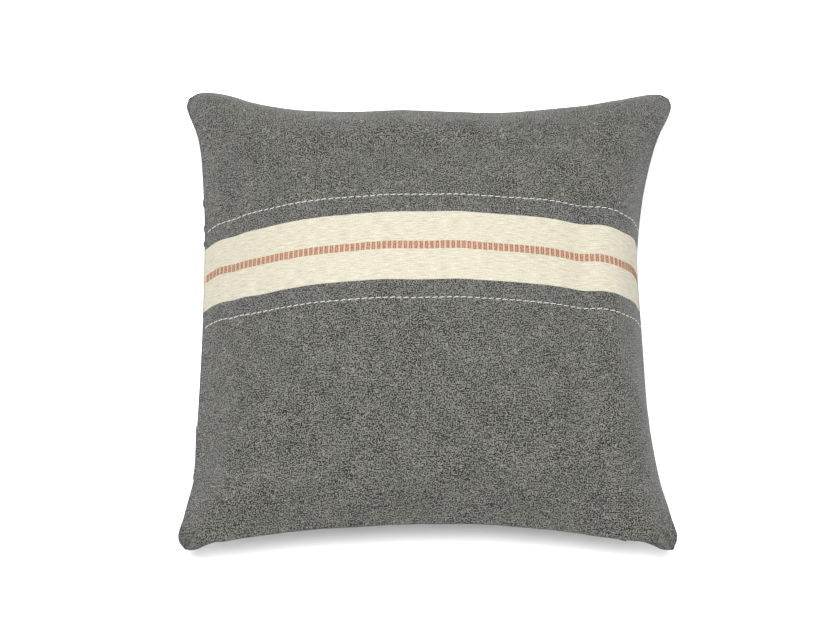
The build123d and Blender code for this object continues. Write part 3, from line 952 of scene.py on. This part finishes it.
def stage():
    """Plain white floor, one wide soft light overhead, and the camera."""
    corners = [(x * FLOOR_HALF, y * FLOOR_HALF, 0) for x, y in ((-1, -1), (1, -1), (1, 1), (-1, 1))]
    floor = add_mesh("floor", corners, [(0, 1, 2, 3)], smooth=False)
    m = Nodes("floor_white", 0.9)
    fleck = m.noise(m.add("ShaderNodeTexCoord").outputs["Object"], 3.0)
    paint(floor, m.finish(m.mix(fleck, grey(0.93), grey(0.95)), fleck, 0.02, MM))
    scene = bpy.context.scene
    world = bpy.data.worlds.new("studio")
    world.use_nodes = True
    world.node_tree.nodes["Background"].inputs[0].default_value = (1, 1, 1, 1)
    world.node_tree.nodes["Background"].inputs[1].default_value = WORLD_LIGHT
    scene.world = world
    lamp = bpy.data.lights.new("key", "AREA")
    lamp.size, lamp.energy = KEY_SIZE, KEY_POWER
    holder = bpy.data.objects.new("key", lamp)
    holder.location = KEY_PLACE
    holder.rotation_euler = (-Vector(KEY_PLACE)).to_track_quat("-Z", "Y").to_euler()
    scene.collection.objects.link(holder)
    scene.view_settings.view_transform = "Standard"
    camera = bpy.data.cameras.new("camera")
    camera.lens = camera.sensor_width * CAMERA_DISTANCE / FRAME_WIDTH
    holder = bpy.data.objects.new("camera", camera)
    tilt = math.radians(CAMERA_ELEVATION)
    out = np.array((0, -math.cos(tilt), math.sin(tilt)))
    up = np.array((0, math.sin(tilt), math.cos(tilt)))
    aim = np.array((AIM_X, 0, AIM_Z)) + up * AIM_UP
    holder.location = aim + out * CAMERA_DISTANCE
    holder.rotation_euler = (math.pi / 2 - tilt, 0, 0)
    scene.collection.objects.link(holder)
    scene.camera = holder


# ---- putting it together -----------------------------------------------------------------------------
BAND_HALF = 36.5 * MM  # half width of the cream band, measured level
SEED = 7
CARRIED_TAPES = ("zipper_tape_front", "zipper_tape_back")
CARRIED_METAL = (
    "zipper_top_stop_front",
    "zipper_top_stop_back",
    "zipper_bottom_stop",
    "zipper_slider",
    "zipper_pull",
)
EDGE_ROUNDING = 0.15 * MM


def place(piece, node, slot, material):
    """Paints a finished piece and puts it in the place of a CAD node of the cushion."""
    paint(piece, material)
    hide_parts(node)
    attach(piece, "cushion")


def build_cover(rng):
    """Both cover panels and the yarns that surface on the front."""
    front, back = make_cover()
    half = FLAT / 2
    places = {name: front.share_at_y(y) * half for name, y in ROW_Y.items()}
    upper, lower, rust = (places[name] for name in ROW_Y)
    band = [front.share_at_y(ROW_Y["rust_float_yarn"] + side * BAND_HALF) * half / MM for side in (-1, 1)]
    front_cloth = panel("front_panel_cloth", front, 1)
    back_cloth = panel("back_panel_cloth", back, -1)
    place(front_cloth, "front_panel", "grey_cloth", striped_cloth(*band, lower / MM, upper / MM, rust / MM))
    place(back_cloth, "back_panel", "grey_cloth", grey_cloth())
    cream = yarn("cream_yarn", (0.24, 0.232, 0.20, 1), (0.45, 0.44, 0.40, 1))
    for node in ("cream_dash_yarn_upper", "cream_dash_yarn_lower"):
        row = dash_row(node.replace("yarn", "floats"), front, places[node], rng)
        place(row, node, "cream_yarn", cream)
    dark, light = (0.07, 0.026, 0.012, 1), (0.25, 0.105, 0.05, 1)
    row = rust_row("rust_floats", front, rust, rng)
    place(row, "rust_float_yarn", "rust_yarn", yarn("rust_yarn", dark, light))
    return front, back, front_cloth, back_cloth


def build_inside(front, back):
    """Insert, label and the thread over the raw edges."""
    ticking = solid_fibre("ticking_cotton", grey(0.62), grey(0.82), 1.6, 0.9)
    top, low = inner_form(front, back, INSERT_SHARE, INSERT_GAP)
    place(insert_ticking("insert_front_cloth", top, 1), "insert_front_ticking", "ticking", ticking)
    place(insert_ticking("insert_back_cloth", low, -1), "insert_back_ticking", "ticking", ticking)
    fibre = solid_fibre("feather_and_down", grey(0.70), grey(0.9), 0.5, 0.95)
    fill = filling("insert_feather_filling", *inner_form(front, back, FILL_SHARE, FILL_GAP))
    place(fill, "insert_filling", "filling", fibre)
    thread = solid_fibre("overlock_spun_thread", grey(0.10), grey(0.20), 2.0)
    for side in ("left", "top", "right"):
        wound = overlock(f"overlock_winding_{side}", front, side)
        place(wound, f"overlock_thread_{side}", "overlock_thread", thread)
    satin = solid_fibre("label_satin_weave", grey(0.70), grey(0.85), 3.0, 0.4, 0.2)
    place(care_label("blank_care_label", front), "care_label", "label_satin", satin)
    return fill


def build_zipper():
    """Coiled teeth, and finishes for the carried-over tapes, stops, slider and pull."""
    nylon = solid_fibre("coil_nylon", grey(0.13), grey(0.19), 2.0, 0.45, 0.1)
    for name, side in (("front", 1), ("back", -1)):
        place(zipper_coil(f"zipper_teeth_{name}", side), f"zipper_coil_{name}", "zipper_coil", nylon)
    tape = solid_fibre("tape_herringbone", grey(0.09), grey(0.17), 2.2, 0.9, 0.6)
    metal = enamel()
    for node in CARRIED_TAPES:
        paint(bpy.data.objects[node], tape)
    for node in CARRIED_METAL:
        paint(bpy.data.objects[node], metal)
        soften(bpy.data.objects[node], EDGE_ROUNDING)


def soften(obj, width):
    """Small rounding of the sharp edges."""
    bevel = obj.modifiers.new("edge_rounding", "BEVEL")
    bevel.width = width
    bevel.segments = 2
    bevel.limit_method = "ANGLE"
    bevel.angle_limit = math.radians(40)


def main():
    """Builds the stage and every piece."""
    rng = np.random.default_rng(SEED)
    stage()
    front, back, front_cloth, back_cloth = build_cover(rng)
    fill = build_inside(front, back)
    build_zipper()
    hairs = stray_fibres("stray_fibres", front, rng)
    paint(hairs, solid_fibre("pale_hair", grey(0.25), grey(0.45), 2.0))
    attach(hairs, "cushion")


main()
